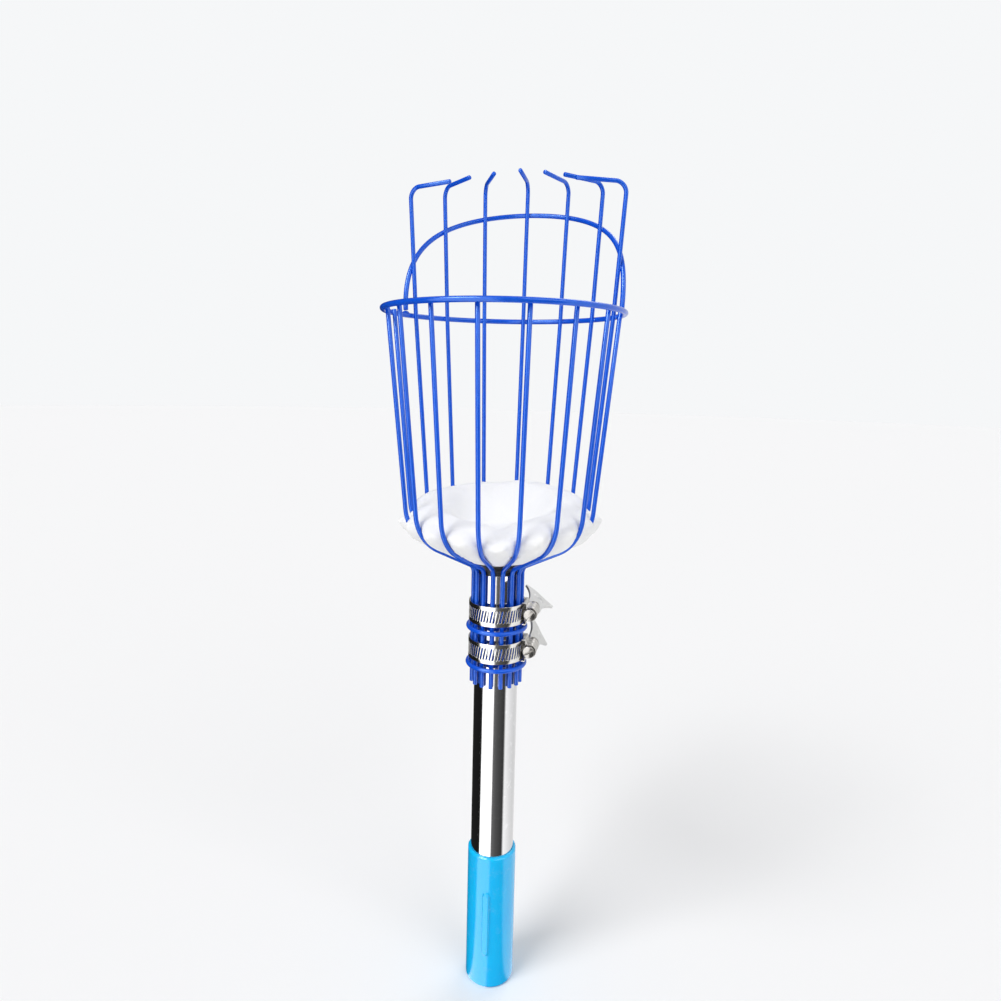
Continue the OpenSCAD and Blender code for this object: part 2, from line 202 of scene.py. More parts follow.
bpy.ops.mesh.primitive_circle_add(vertices=96, radius=9, fill_type="NGON", location=(0, 0, cad_box[0].z))
floor = bpy.context.object
floor.name = "floor"
floor_paint = bpy.data.materials.new("pale_floor")
floor_paint.use_nodes = True
make, link = node_tree(floor_paint.node_tree)
paint = make("ShaderNodeBsdfDiffuse")
paint.inputs["Color"].default_value = (0.885, 0.882, 0.886, 1)
place = make("ShaderNodeTexCoord")
screens = make("ShaderNodeGroup", node_tree=STUDIO_SCREENS)
link(place.outputs["Object"], screens.inputs[0])
# Painted reflection: glossy rays that reach the floor see it glow with the screens' light; it reflects
# nothing and is no lamp.
painted_screen_glow = make("ShaderNodeEmission")
link(screens.outputs[0], painted_screen_glow.inputs["Color"])
ray = make("ShaderNodeLightPath")
pick = make("ShaderNodeMixShader")
link(ray.outputs["Is Glossy Ray"], pick.inputs[0])
link(paint.outputs[0], pick.inputs[1])
link(painted_screen_glow.outputs[0], pick.inputs[2])
end = make("ShaderNodeOutputMaterial")
link(pick.outputs[0], end.inputs["Surface"])
floor.data.materials.append(floor_paint)

# ---- Blue wire cage ----
# Drawn steel wire, bent in a jig, spot-welded and then powder-coated royal blue. The coat is glossy,
# a little orange-peeled, and thins on the crown of each wire where branches rub it.

wire_d = 0.0028
rim_wire_d = 0.0034
arch_wire_d = 0.0032
collar_wire_d = 0.0028
weld_sink = 0.00015
blue_coat_colour = (0.002, 0.098, 0.74, 1)
blue_pooled_colour = (0.002, 0.074, 0.60, 1)
blue_thin_colour = (0.012, 0.16, 0.82, 1)


def noise_at(make, link, scale, detail):
    """A noise texture in the piece's own space, its scale fed by a socket."""
    place = make("ShaderNodeTexCoord")
    texture = make("ShaderNodeTexNoise")
    texture.inputs["Detail"].default_value = detail
    link(place.outputs["Object"], texture.inputs["Vector"])
    link(scale, texture.inputs["Scale"])
    return texture


def grain_group():
    """Fine cellular grain on top of a slow swell: orange peel, casting skin or foam pores."""
    group, make, link, ends_in, ends_out = shader_group(
        "surface_grain",
        [("Grain per metre", "NodeSocketFloat", 900), ("Swell per metre", "NodeSocketFloat", 120),
         ("Swell share", "NodeSocketFloat", 0.5)],
        [("Height", "NodeSocketFloat"), ("Patches", "NodeSocketFloat")])
    fine = noise_at(make, link, ends_in.outputs["Grain per metre"], detail=3)
    slow = noise_at(make, link, ends_in.outputs["Swell per metre"], detail=2)
    blend = make("ShaderNodeMix", data_type="FLOAT")
    link(ends_in.outputs["Swell share"], blend.inputs[0])
    link(fine.outputs["Fac"], blend.inputs[2])
    link(slow.outputs["Fac"], blend.inputs[3])
    link(blend.outputs[0], ends_out.inputs["Height"])
    link(slow.outputs["Fac"], ends_out.inputs["Patches"])
    return group


def product(make, link, first, second):
    """Two numbers multiplied."""
    times = make("ShaderNodeMath", operation="MULTIPLY")
    link(first, times.inputs[0])
    link(second, times.inputs[1])
    return times.outputs[0]


def wear_group():
    """Scuffs, rubbed crowns and dust: a mask for rubbed spots and one for settled dust."""
    group, make, link, ends_in, ends_out = shader_group(
        "rub_and_dust",
        [("Scuffs per metre", "NodeSocketFloat", 70), ("Rubbed", "NodeSocketFloat", 0.35),
         ("Dust", "NodeSocketFloat", 0.3)],
        [("Rubbed spots", "NodeSocketFloat"), ("Dust film", "NodeSocketFloat")])
    scuff = noise_at(make, link, ends_in.outputs["Scuffs per metre"], detail=6)
    scuff.inputs["Roughness"].default_value = 0.7
    cut = between(make, link, scuff.outputs["Fac"], 0.56, 0.72)
    rubbed = product(make, link, cut, ends_in.outputs["Rubbed"])
    link(rubbed, ends_out.inputs["Rubbed spots"])
    lie = make("ShaderNodeNewGeometry")
    split = make("ShaderNodeSeparateXYZ")
    link(lie.outputs["Normal"], split.inputs[0])
    up = between(make, link, split.outputs["Z"], 0.2, 1.0)
    settle = product(make, link, up, scuff.outputs["Fac"])
    film = product(make, link, settle, ends_in.outputs["Dust"])
    link(film, ends_out.inputs["Dust film"])
    return group


GRAIN = grain_group()
WEAR = wear_group()


def new_material(name, colour, metallic=0.0, roughness=0.4, coat=0.0, coat_roughness=0.1):
    """A material with its shader's plain constants set; the caller links what varies."""
    material = bpy.data.materials.new(name)
    material.use_nodes = True
    material.diffuse_color = colour
    make, link = node_tree(material.node_tree)
    shader = make("ShaderNodeBsdfPrincipled")
    shader.inputs["Base Color"].default_value = colour
    shader.inputs["Metallic"].default_value = metallic
    shader.inputs["Roughness"].default_value = roughness
    shader.inputs["Coat Weight"].default_value = coat
    shader.inputs["Coat Roughness"].default_value = coat_roughness
    end = make("ShaderNodeOutputMaterial")
    link(shader.outputs[0], end.inputs["Surface"])
    return material, make, link, shader


def placed_group(make, link, group, **values):
    """A group node with its inputs set; underscores in the names stand for spaces."""
    placed = make("ShaderNodeGroup", node_tree=group)
    for key, value in values.items():
        placed.inputs[key.replace("_", " ")].default_value = value
    return placed


def vary(make, link, mask, low, high):
    """Turns a mask from 0 to 1 into a number from low to high."""
    spread = make("ShaderNodeMapRange")
    spread.inputs["To Min"].default_value = low
    spread.inputs["To Max"].default_value = high
    link(mask, spread.inputs["Value"])
    return spread.outputs[0]


def bump(make, link, shader, height, strength, depth):
    """Bends the shader's normal by a height, depth in metres."""
    bent = make("ShaderNodeBump")
    bent.inputs["Strength"].default_value = strength
    bent.inputs["Distance"].default_value = depth
    link(height, bent.inputs["Height"])
    link(bent.outputs[0], shader.inputs["Normal"])


def worn_finish(make, link, shader, colour, grain, wear, patches=None, rubbed=None, dusty=None,
                rough=(0.2, 0.4), rough_by="Rubbed spots", relief=(0.3, 0.00008)):
    """Wires a finish: patches of a second colour, rubbed spots, dust, then its roughness and bump."""
    masks = {"Patches": grain.outputs["Patches"], "Rubbed spots": wear.outputs["Rubbed spots"],
             "Dust film": wear.outputs["Dust film"]}
    for label, second in (("Patches", patches), ("Rubbed spots", rubbed), ("Dust film", dusty)):
        if second:
            colour = tint(make, link, masks[label], colour, second)
    link(colour, shader.inputs["Base Color"])
    link(vary(make, link, masks[rough_by], *rough), shader.inputs["Roughness"])
    bump(make, link, shader, grain.outputs["Height"], *relief)


def blue_powder_coat():
    material, make, link, shader = new_material("blue_powder_coat", blue_coat_colour, roughness=0.22,
                                                coat=0.15, coat_roughness=0.06)
    shader.inputs["Specular IOR Level"].default_value = 0.85
    shader.inputs["Specular Tint"].default_value = (0.45, 0.78, 1.0, 1)
    grain = placed_group(make, link, GRAIN, Grain_per_metre=620, Swell_per_metre=150, Swell_share=0.5)
    wear = placed_group(make, link, WEAR, Scuffs_per_metre=60, Rubbed=0.45, Dust=0.06)
    worn_finish(make, link, shader, blue_coat_colour, grain, wear, patches=blue_pooled_colour,
                rubbed=blue_thin_colour, dusty=(0.30, 0.38, 0.60, 1), rough=(0.20, 0.36))
    return material


BLUE = blue_powder_coat()


def finish_mesh(name, bm, material, body, slot, *replaced, smooth=True):
    """Makes an object of a bmesh, shades it and hangs it on its body."""
    mesh = bpy.data.meshes.new(name)
    bm.to_mesh(mesh)
    bm.free()
    piece = bpy.data.objects.new(name, mesh)
    bpy.context.collection.objects.link(piece)
    piece.data.materials.append(material)
    for face in mesh.polygons:
        face.use_smooth = smooth
    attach(piece, body)
    if replaced:
        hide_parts(*replaced)
    return piece


def skin(bm, rows, around=True):
    """Faces between each row of points and the next; around joins each row's end to its start."""
    for here, there in zip(rows, rows[1:]):
        for k in range(len(here) if around else len(here) - 1):
            n = (k + 1) % len(here)
            bm.faces.new((here[k], here[n], there[n], there[k]))


def circle(count):
    """Angles of evenly spaced points round a circle."""
    return [2 * math.pi * k / count for k in range(count)]


def add_wire(bm, points, diameter, sides, closed):
    """Sweeps a round wire along points; open ends are cropped square with a small burr-free edge."""
    radius = diameter / 2
    points = [Vector(p) for p in points]
    count = len(points)
    along = []
    for i in range(count):
        before = points[i - 1] if (closed or i) else points[i]
        after = points[(i + 1) % count] if (closed or i < count - 1) else points[i]
        along.append((after - before).normalized())
    across = along[0].orthogonal().normalized()
    rings = []
    stations = [(points[i], along[i], radius) for i in range(count)]
    if not closed:
        edge = radius * 0.16
        stations[0] = (points[0] + along[0] * edge, along[0], radius)
        stations[-1] = (points[-1] - along[-1] * edge, along[-1], radius)
        stations.insert(0, (points[0], along[0], radius - edge))
        stations.append((points[-1], along[-1], radius - edge))
    for place, way, size in stations:
        across = (across - way * across.dot(way)).normalized()
        aside = way.cross(across)
        rings.append([bm.verts.new(place + (across * math.cos(q) + aside * math.sin(q)) * size)
                      for q in circle(sides)])
    skin(bm, rings + rings[:1] if closed else rings)
    if not closed:
        bm.faces.new(list(reversed(rings[0])))
        bm.faces.new(rings[-1])


def bent_route(corners, radii, step=math.radians(5)):
    """Points through corner points in a plane, each corner rounded to its radius."""
    corners = [Vector(c) for c in corners]
    route = [corners[0]]
    for i in range(1, len(corners) - 1):
        come = (corners[i] - corners[i - 1]).normalized()
        go = (corners[i + 1] - corners[i]).normalized()
        angle = come.angle(go)
        side = 1 if come.x * go.y - come.y * go.x > 0 else -1
        start = corners[i] - come * radii[i] * math.tan(angle / 2)
        centre = start + side * radii[i] * Vector((-come.y, come.x))
        heading = math.atan2(come.y, come.x)
        steps = max(2, math.ceil(angle / step))
        for k in range(steps + 1):
            h = heading + side * angle * k / steps
            route.append(centre + side * radii[i] * Vector((math.sin(h), -math.cos(h))))
    route.append(corners[-1])
    return route


def around_pole(radius, height, angle):
    """A point at a radius and height, at an angle from the back and positive towards +X."""
    return Vector((radius * math.sin(angle), radius * math.cos(angle), height))


# Corner points of the cage wires in their own radial plane, (radius, height)
pole_low, pole_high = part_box("pole_tube")
pole_r = pole_high.x
neck_gap = 0.0003
neck_r = pole_r + neck_gap + wire_d / 2
rim_r = rim_high.x - rim_wire_d / 2
wire_rim_r = rim_r - rim_wire_d / 2 - wire_d / 2 + weld_sink
bowl_depth = 0.137
bowl_r = 0.0575
floor_slope = math.radians(26.7)
bowl_bend_r = 0.028
neck_bend_r = 0.007
rim_bend_r = 0.060
bowl_corner_z = rim_z - bowl_depth
neck_corner_z = bowl_corner_z - (bowl_r - neck_r) * math.tan(floor_slope)
wire_end_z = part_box("cage_wire_1")[0].z
cage_foot = [(bowl_r, bowl_corner_z), (neck_r, neck_corner_z), (neck_r, wire_end_z)]
cage_bends = [bowl_bend_r, neck_bend_r, 0]

wire_step = 2 * math.pi / 16
tine_count = 7
cage_count = 9
fan_half = (tine_count - 1) / 2 * wire_step
cage_angles = [fan_half + (i + 1) * wire_step for i in range(cage_count)]
tine_angles = [-fan_half + i * wire_step for i in range(tine_count)]


def spread_route(route, angle):
    """A radial-plane route stood up at its angle round the pole."""
    return [around_pole(p.x, p.y, angle) for p in route]


def coated_wire(name, points, diameter, sides=20, closed=False):
    """One wire or ring of the basket, named for the node that it stands for."""
    bm = bmesh.new()
    add_wire(bm, points, diameter, sides, closed)
    finish_mesh(name + "_coated", bm, BLUE, "basket", "blue_coated_wire", name)


wall = (Vector((wire_rim_r, rim_z)) - Vector((bowl_r, bowl_corner_z))).normalized()
wire_top = Vector((wire_rim_r, rim_z)) + wall * rim_wire_d / 2
for i, angle in enumerate(cage_angles):
    route = bent_route([wire_top] + cage_foot, [0] + cage_bends)
    coated_wire(f"cage_wire_{i + 1}", spread_route(route, angle), wire_d)

# ---- Tines ----
# The seven rearmost wires run on above the rim, lean out a little and are hooked inwards at the top,
# the middle one tallest. The hooks catch the stalk while the fruit drops into the basket.

tine_h = 0.0955
tine_drop = 0.013
tine_lean = math.tan(math.radians(3.9))
hook_l = 0.033
hook_bend_r = 0.007
for i, angle in enumerate(tine_angles):
    top = tine_h - tine_drop * (abs(angle) / fan_half) ** 1.5
    corner = Vector((wire_rim_r + top * tine_lean, rim_z + top))
    hook_end = corner - Vector((hook_l, 0))
    route = bent_route([hook_end, corner, (wire_rim_r, rim_z)] + cage_foot,
                       [0, hook_bend_r, rim_bend_r] + cage_bends)
    coated_wire(f"tine_{i + 1}", spread_route(route, angle), wire_d)

# ---- Rim ring, collars and back hoop ----
# Closed rings of wire butt-welded at the back, and the arched hoop across the outer side of the
# tines, its two feet standing on the rim. All are spot-welded to the cage before it is coated.


def ring_points(radius, height, steps=192):
    return [around_pole(radius, height, angle) for angle in circle(steps)]


neck_outer_r = neck_r + wire_d / 2
collar_r = neck_outer_r + collar_wire_d / 2 - weld_sink
collar_heights = {}
for name in ("upper_collar", "lower_collar"):
    low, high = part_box(name)
    collar_heights[name] = (low.z + high.z) / 2
    coated_wire(name, ring_points(collar_r, collar_heights[name], 96), collar_wire_d, closed=True)
coated_wire("rim_ring", ring_points(rim_r, rim_z), rim_wire_d, sides=24, closed=True)

arch_h = 0.074
arch_half_angle = math.radians(73)
arch_foot_lift = rim_wire_d / 2 + arch_wire_d / 2 - weld_sink


def arch_radius(h):
    return wire_rim_r + h * tine_lean + (wire_d + arch_wire_d) / 2 - weld_sink


def arch_lift(angle):
    """Height of the hoop above the rim at an angle from the back."""
    share = min(1.0, abs(angle) / arch_half_angle)
    return arch_foot_lift + (arch_h - arch_foot_lift) * math.sqrt(1 - share * share)


arch_points = []
for k in range(97):
    t = math.pi * k / 96
    h = arch_foot_lift + (arch_h - arch_foot_lift) * math.sin(t)
    arch_points.append(around_pole(arch_radius(h), rim_z + h, arch_half_angle * math.cos(t)))
coated_wire("back_arch", arch_points, arch_wire_d)

# ---- Weld beads ----
# Spot welds squeeze a small fillet of metal out beside each crossing; the powder coat pools over it.
# One bead sits at every crossing of a wire with the rim, the hoop or a collar.

weld_rng = random.Random(11)
# Half sizes of a bead: along the crossing, out from it, and across
rim_bead = (0.0013, 0.0009, 0.0011)
collar_bead = (0.0016, 0.0007, 0.0009)
arch_bead = (0.0017, 0.0008, 0.0012)
foot_bead = (0.0026, 0.0009, 0.0017)


def add_bead(bm, centre, along, out, size):
    """One lumpy bead: along is its long way, out points away from the pole."""
    along = along.normalized()
    out = (out - along * out.dot(along)).normalized()
    turn = Matrix((along, out, along.cross(out))).transposed()
    made = bmesh.ops.create_icosphere(bm, subdivisions=3, radius=1)
    phase = Vector([weld_rng.uniform(0, 50) for _ in range(3)])
    scale = [s * weld_rng.uniform(0.88, 1.12) for s in size]
    for v in made["verts"]:
        lump = 1 + 0.16 * noise.noise(v.co * 1.7 + phase)
        v.co = centre + turn @ Vector([c * s * lump for c, s in zip(v.co, scale)])


def ways(angle):
    """The way out from the pole at an angle, and the way round it."""
    out = around_pole(1, 0, angle)
    return out, Vector((out.y, -out.x, 0))


bm = bmesh.new()
for angle in cage_angles + tine_angles:
    out, aside = ways(angle)
    rim_touch = wire_rim_r + wire_d / 2 - weld_sink / 2
    for side in (-1, 1):
        beside = around_pole(rim_touch - 0.0001, rim_z - 0.0003, angle) + aside * side * 0.0010
        add_bead(bm, beside, aside, out, rim_bead)
    for height in collar_heights.values():
        add_bead(bm, around_pole(neck_outer_r - 0.00005, height, angle), aside, out, collar_bead)
for angle in tine_angles:
    h = arch_lift(angle)
    out, aside = ways(angle)
    touch = wire_rim_r + h * tine_lean + wire_d / 2 - weld_sink / 2
    add_bead(bm, around_pole(touch, rim_z + h, angle), aside, out, arch_bead)
for end in (-1, 1):
    foot = around_pole(rim_r, rim_z + rim_wire_d / 2, end * arch_half_angle)
    add_bead(bm, foot, ways(end * arch_half_angle)[1], Vector((0, 0, 1)), foot_bead)
butt_welds = [(rim_r, rim_z, rim_wire_d)]
butt_welds += [(collar_r, height, collar_wire_d) for height in collar_heights.values()]
for radius, height, size in butt_welds:
    add_bead(bm, around_pole(radius, height, math.pi * 0.03), Vector((1, 0, 0)), Vector((0, 1, 0)),
             (0.0009, size * 0.515, size * 0.515))
finish_mesh("weld_beads", bm, BLUE, "basket", "blue_coated_wire")

# ---- Foam pad ----
# A thick square of white foam pushed down into the bowl: it dishes under the fruit, its sides swell
# out between the wires that pinch it, and its four corners poke through the gaps.

foam_colour = (0.965, 0.962, 0.95, 1)
# foam_shade_colour is painted shade: the darker colour given to the foam's pores.
foam_shade_colour = (0.90, 0.895, 0.88, 1)
pad_floor_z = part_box("foam_pad")[0].z
pad_edge_z = bowl_corner_z + 0.0205
pad_edge_tilt = 0.007
pad_thickness = 0.0225
pad_round_r = 0.007
crown_share = 0.22
wire_clear = wire_d / 2 + 0.0004
corner_z = bowl_corner_z + 0.006


def in_radians(degrees):
    """Angles given in degrees."""
    return [math.radians(a) for a in degrees]


corner_angles = in_radians((-101.25, -11.25, 78.75, 168.75))


def eased(share):
    """A share held between 0 and 1 and smoothed at both ends."""
    share = min(1.0, max(0.0, share))
    return share * share * (3 - 2 * share)


def wall_radius(z):
    """Radius of the wires' centre line in the bowl at a height."""
    slope = (wire_rim_r - bowl_r) / bowl_depth
    turn_angle = math.pi / 2 - floor_slope - math.atan(slope)
    back = bowl_bend_r * math.tan(turn_angle / 2)
    lean = math.atan(slope)
    centre_r = bowl_r + back * math.sin(lean) - bowl_bend_r * math.cos(lean)
    centre_z = bowl_corner_z + back * math.cos(lean) + bowl_bend_r * math.sin(lean)
    bend_top = centre_z - bowl_bend_r * math.sin(lean)
    bend_bottom = centre_z - bowl_bend_r * math.cos(floor_slope)
    if z >= bend_top:
        return bowl_r + (z - bowl_corner_z) * slope
    if z >= bend_bottom:
        return centre_r + math.sqrt(max(0.0, bowl_bend_r ** 2 - (centre_z - z) ** 2))
    return neck_r + max(0.0, z - neck_corner_z) / math.tan(floor_slope)


def corner_reach(angle):
    """How far an angle is into one of the pad's four corners, from 0 to 1."""
    best = 0.0
    for corner in corner_angles:
        off = abs((angle - corner + math.pi) % (2 * math.pi) - math.pi)
        best = max(best, math.exp(-(off / math.radians(12)) ** 2))
    return best


def pad_edge_height(angle):
    """Height of the pad's top edge: higher at the back, dipping where a corner is pulled through."""
    ripple = 0.0007 * math.sin(3 * angle + 0.7) + 0.0004 * math.sin(5 * angle + 2.1)
    return pad_edge_z + pad_edge_tilt * math.cos(angle) - 0.003 * corner_reach(angle) + ripple


def pad_surface(share, angle):
    """A point of the pad: share runs from the underside's middle, round the edge, to the top's middle."""
    edge = pad_edge_height(angle)
    if share < 0.5:
        run = share / 0.5
        z = pad_floor_z + (edge - pad_round_r - pad_floor_z) * run ** 1.6
        radius = (wall_radius(max(z, pad_floor_z)) - wire_clear) * min(1.0, run * 2.2)
        return radius, z
    run = (share - 0.5) / 0.5
    rim = wall_radius(edge - pad_round_r) - wire_clear
    if run < crown_share:
        q = run / crown_share * math.pi / 2
        return rim - pad_round_r * (1 - math.cos(q)), edge - pad_round_r + pad_round_r * math.sin(q)
    inward = (run - crown_share) / (1 - crown_share)
    centre_z = pad_floor_z + pad_thickness
    radius = (rim - pad_round_r) * (1 - inward)
    dish = 0.5 + 0.5 * math.cos(math.pi * min(1.0, inward * 1.25))
    return radius, centre_z + (edge - centre_z) * dish


bm = bmesh.new()
pad_turns = 128
pad_runs = 44
bottom = bm.verts.new((0, 0, pad_floor_z))
top = bm.verts.new((0, 0, pad_floor_z + pad_thickness))
loops = []
for j in range(1, pad_runs):
    loop = []
    for angle in circle(pad_turns):
        radius, z = pad_surface(j / pad_runs, angle)
        loop.append(bm.verts.new(around_pole(max(radius, 0.0008), z, angle)))
    loops.append(loop)
for k in range(pad_turns):
    n = (k + 1) % pad_turns
    bm.faces.new((bottom, loops[0][k], loops[0][n]))
    bm.faces.new((top, loops[-1][n], loops[-1][k]))
    for here, there in zip(loops, loops[1:]):
        bm.faces.new((here[k], there[k], there[n], here[n]))
bmesh.ops.recalc_face_normals(bm, faces=bm.faces)


def white_foam():
    material, make, link, shader = new_material("white_foam", foam_colour, roughness=0.85)
    shader.inputs["Subsurface Weight"].default_value = 0.25
    shader.inputs["Subsurface Radius"].default_value = (0.004, 0.004, 0.004)
    shader.inputs["Subsurface Scale"].default_value = 1.0
    shader.inputs["Sheen Weight"].default_value = 0.25
    shader.inputs["Sheen Roughness"].default_value = 0.6
    grain = placed_group(make, link, GRAIN, Grain_per_metre=1900, Swell_per_metre=60, Swell_share=0.25)
    place = make("ShaderNodeTexCoord")
    pores = make("ShaderNodeTexVoronoi")
    pores.inputs["Scale"].default_value = 1500
    link(place.outputs["Object"], pores.inputs["Vector"])
    # Painted shade: the pores are coloured darker with foam_shade_colour, as if shade lay inside them.
    open_pores = between(make, link, pores.outputs["Distance"], 0.10, 0.42)
    soft = tint(make, link, grain.outputs["Patches"], foam_colour, (0.94, 0.936, 0.925, 1))
    pores_painted_shade = tint(make, link, open_pores, foam_shade_colour, soft)
    link(pores_painted_shade, shader.inputs["Base Color"])
    rough = make("ShaderNodeMath", operation="ADD")
    link(grain.outputs["Height"], rough.inputs[0])
    link(open_pores, rough.inputs[1])
    bump(make, link, shader, rough.outputs[0], 0.45, 0.0003)
    return material


pad = finish_mesh("foam_pad_cushion", bm, white_foam(), "pad", "white_foam", "foam_pad")


def settled_mesh(piece):
    """Replaces a piece's mesh by the one its modifiers make, and drops them."""
    graph = bpy.context.evaluated_depsgraph_get()
    made = bpy.data.meshes.new_from_object(piece.evaluated_get(graph), depsgraph=graph)
    piece.modifiers.clear()
    old = piece.data
    piece.data = made
    bpy.data.meshes.remove(old)
    for face in piece.data.polygons:
        face.use_smooth = True


def swell(piece, pressure, frames, cap):
    """Blows up a closed cushion as cloth under pressure; no point moves further than cap."""
    remesh = piece.modifiers.new("even", "REMESH")
    remesh.mode = "VOXEL"
    remesh.voxel_size = 0.0032
    settled_mesh(piece)
    before = [v.co.copy() for v in piece.data.vertices]
    cloth = piece.modifiers.new("cloth", "CLOTH")
    cloth.settings.quality = 4
    cloth.settings.mass = 0.05
    cloth.settings.tension_stiffness = 12
    cloth.settings.compression_stiffness = 12
    cloth.settings.bending_stiffness = 2
    cloth.settings.use_pressure = True
    cloth.settings.uniform_pressure_force = pressure
    cloth.settings.effector_weights.gravity = 0
    cloth.collision_settings.use_collision = False
    scene = bpy.context.scene
    scene.frame_start = 1
    scene.frame_end = frames
    for step in range(1, frames + 1):
        scene.frame_set(step)
    settled_mesh(piece)
    for v, start in zip(piece.data.vertices, before):
        moved = v.co - start
        if moved.length > cap:
            v.co = start + moved * (cap / moved.length)
    scene.frame_set(1)


swell(pad, pressure=2.5, frames=16, cap=0.004)
smooth_pad = pad.modifiers.new("smooth", "SUBSURF")
smooth_pad.levels = 1
smooth_pad.render_levels = 1
settled_mesh(pad)

# The wires pinch the swollen pad; between them it bulges, most of all at its four corners
pull_depth = 0.004
for v in pad.data.vertices:
    radius = math.hypot(v.co.x, v.co.y)
    if radius < 0.012:
        continue
    angle = math.atan2(v.co.x, v.co.y)
    nearest = round(angle / wire_step) * wire_step
    aside = abs(radius * math.sin(angle - nearest))
    half_gap = radius * math.sin(wire_step / 2)
    slack = eased((aside - wire_clear) / max(half_gap - wire_clear, 1e-6))
    height_share = math.exp(-((v.co.z - corner_z) / 0.0105) ** 4)
    bulge = slack * (0.0004 + (0.0042 + 0.0030 * corner_reach(angle)) * height_share)
    pinch = math.sqrt(max(0.0, wire_clear ** 2 - aside ** 2)) if aside < wire_clear else 0.0
    line = wall_radius(v.co.z)
    steep = math.sin(floor_slope) if v.co.z < bowl_corner_z - 0.004 else 1.0
    limit = line - pinch / steep + bulge
    if v.co.z > bowl_corner_z - 0.006:
        reach = limit - 0.0002
        inner = line - wire_clear
        if radius > inner - pull_depth:
            pull = (radius - (inner - pull_depth)) / pull_depth
            radius_new = min(reach, inner - pull_depth + pull * (reach - inner + pull_depth))
            v.co.x *= radius_new / radius
            v.co.y *= radius_new / radius
    else:
        floor_z = neck_corner_z + (radius - neck_r) * math.tan(floor_slope)
        under = floor_z + (pinch + 0.0001) / math.cos(floor_slope) - slack * 0.0018
        v.co.z = max(v.co.z, under)
    v.co.z = max(v.co.z, pad_floor_z - 0.0002)
pad.data.update()

# ---- Clamp bands ----
# Bright rolled stainless strip, half an inch wide, with a row of slanted slots that the worm drives.
# The strip is closed round the neck wires; past the housing its free tail lies on it, at the back.

band_w = 0.0127
band_t = 0.0007
band_inner_r = neck_outer_r + 0.0003
band_outer_r = band_inner_r + band_t
slot_w = 0.0010
slot_l = 0.0078
slot_slant = math.tan(math.radians(11))
steel_colour = (0.80, 0.79, 0.77, 1)


def brush_group():
    """Fine lines drawn out along one way: rolled strip, turned screws and drawn tube."""
    group, make, link, ends_in, ends_out = shader_group(
        "drawn_lines",
        [("Stretch", "NodeSocketVector", (1, 1, 1)), ("Smear per metre", "NodeSocketFloat", 30)],
        [("Lines", "NodeSocketFloat"), ("Smears", "NodeSocketFloat")])
    place = make("ShaderNodeTexCoord")
    stretched = make("ShaderNodeVectorMath", operation="MULTIPLY")
    link(place.outputs["Object"], stretched.inputs[0])
    link(ends_in.outputs["Stretch"], stretched.inputs[1])
    lines = make("ShaderNodeTexNoise")
    lines.inputs["Scale"].default_value = 1
    lines.inputs["Detail"].default_value = 4
    link(stretched.outputs[0], lines.inputs["Vector"])
    smears = noise_at(make, link, ends_in.outputs["Smear per metre"], detail=3)
    link(lines.outputs["Fac"], ends_out.inputs["Lines"])
    link(smears.outputs["Fac"], ends_out.inputs["Smears"])
    return group


BRUSH = brush_group()


def bright_steel(name, colour, stretch, rough_low, rough_high, line_depth, smear=30):
    """Steel with drawn lines in its bump and smears in its polish."""
    material, make, link, shader = new_material(name, colour, metallic=1.0, roughness=rough_low)
    brush = placed_group(make, link, BRUSH, Stretch=stretch, Smear_per_metre=smear)
    wear = placed_group(make, link, WEAR, Scuffs_per_metre=220, Rubbed=0.6, Dust=0.25)
    dull = tuple(c * 0.78 for c in colour[:3]) + (1,)
    bright = tuple(min(1, c * 1.15) for c in colour[:3]) + (1,)
    toned = tint(make, link, brush.outputs["Smears"], colour, dull)
    scuffed = tint(make, link, wear.outputs["Rubbed spots"], toned, bright)
    link(scuffed, shader.inputs["Base Color"])
    polish = vary(make, link, brush.outputs["Smears"], rough_low, rough_high)
    link(polish, shader.inputs["Roughness"])
    bump(make, link, shader, brush.outputs["Lines"], 0.3, line_depth)
    return material


STRIP = bright_steel("rolled_strip", steel_colour, (120, 120, 5200), 0.10, 0.24, 0.00003)


def slotted_strip(bm, radius, first, last, cells, slotted, closed):
    """Strip round the pole from angle first to last (from +X towards +Y), one slot to a cell."""
    width = (last - first) / cells
    half = band_w / 2
    slot_turn = slot_w / radius
    margin = (width - slot_turn) / 2
    tip = slot_w / 2
    columns = [0.0, margin, width / 2, width - margin]
    rows = [-half, -slot_l / 2 - 0.0006, -slot_l / 2, -slot_l / 2 + tip, 0, slot_l / 2 - tip, slot_l / 2,
            slot_l / 2 + 0.0006, half]
    grid = {}
    total = cells * 4 + (0 if closed else 1)
    for c in range(total):
        cell, column = divmod(c, 4)
        for r, v in enumerate(rows):
            u = first + cell * width + columns[column]
            height = v
            if r in (2, 6) and column in (1, 3) and slotted(cell):
                height = math.copysign(slot_l / 2 - tip * 0.29, v)
                u += math.copysign(slot_turn * 0.146, 2 - column)
            u += height * slot_slant / radius
            grid[c, r] = bm.verts.new((radius * math.cos(u), radius * math.sin(u), height))
    for c in range(cells * 4):
        n = (c + 1) % total
        cell, column = divmod(c, 4)
        for r in range(len(rows) - 1):
            hole = slotted(cell) and column in (1, 2) and 2 <= r <= 5
            if not hole:
                bm.faces.new((grid[c, r], grid[n, r], grid[n, r + 1], grid[c, r + 1]))


def break_edges(piece, width, sharpest):
    """Takes the sharpness off a piece's edges that turn by more than sharpest degrees."""
    broken = piece.modifiers.new("broken_edges", "BEVEL")
    broken.width = width
    broken.segments = 2
    broken.limit_method = "ANGLE"
    broken.angle_limit = math.radians(sharpest)
    settled_mesh(piece)


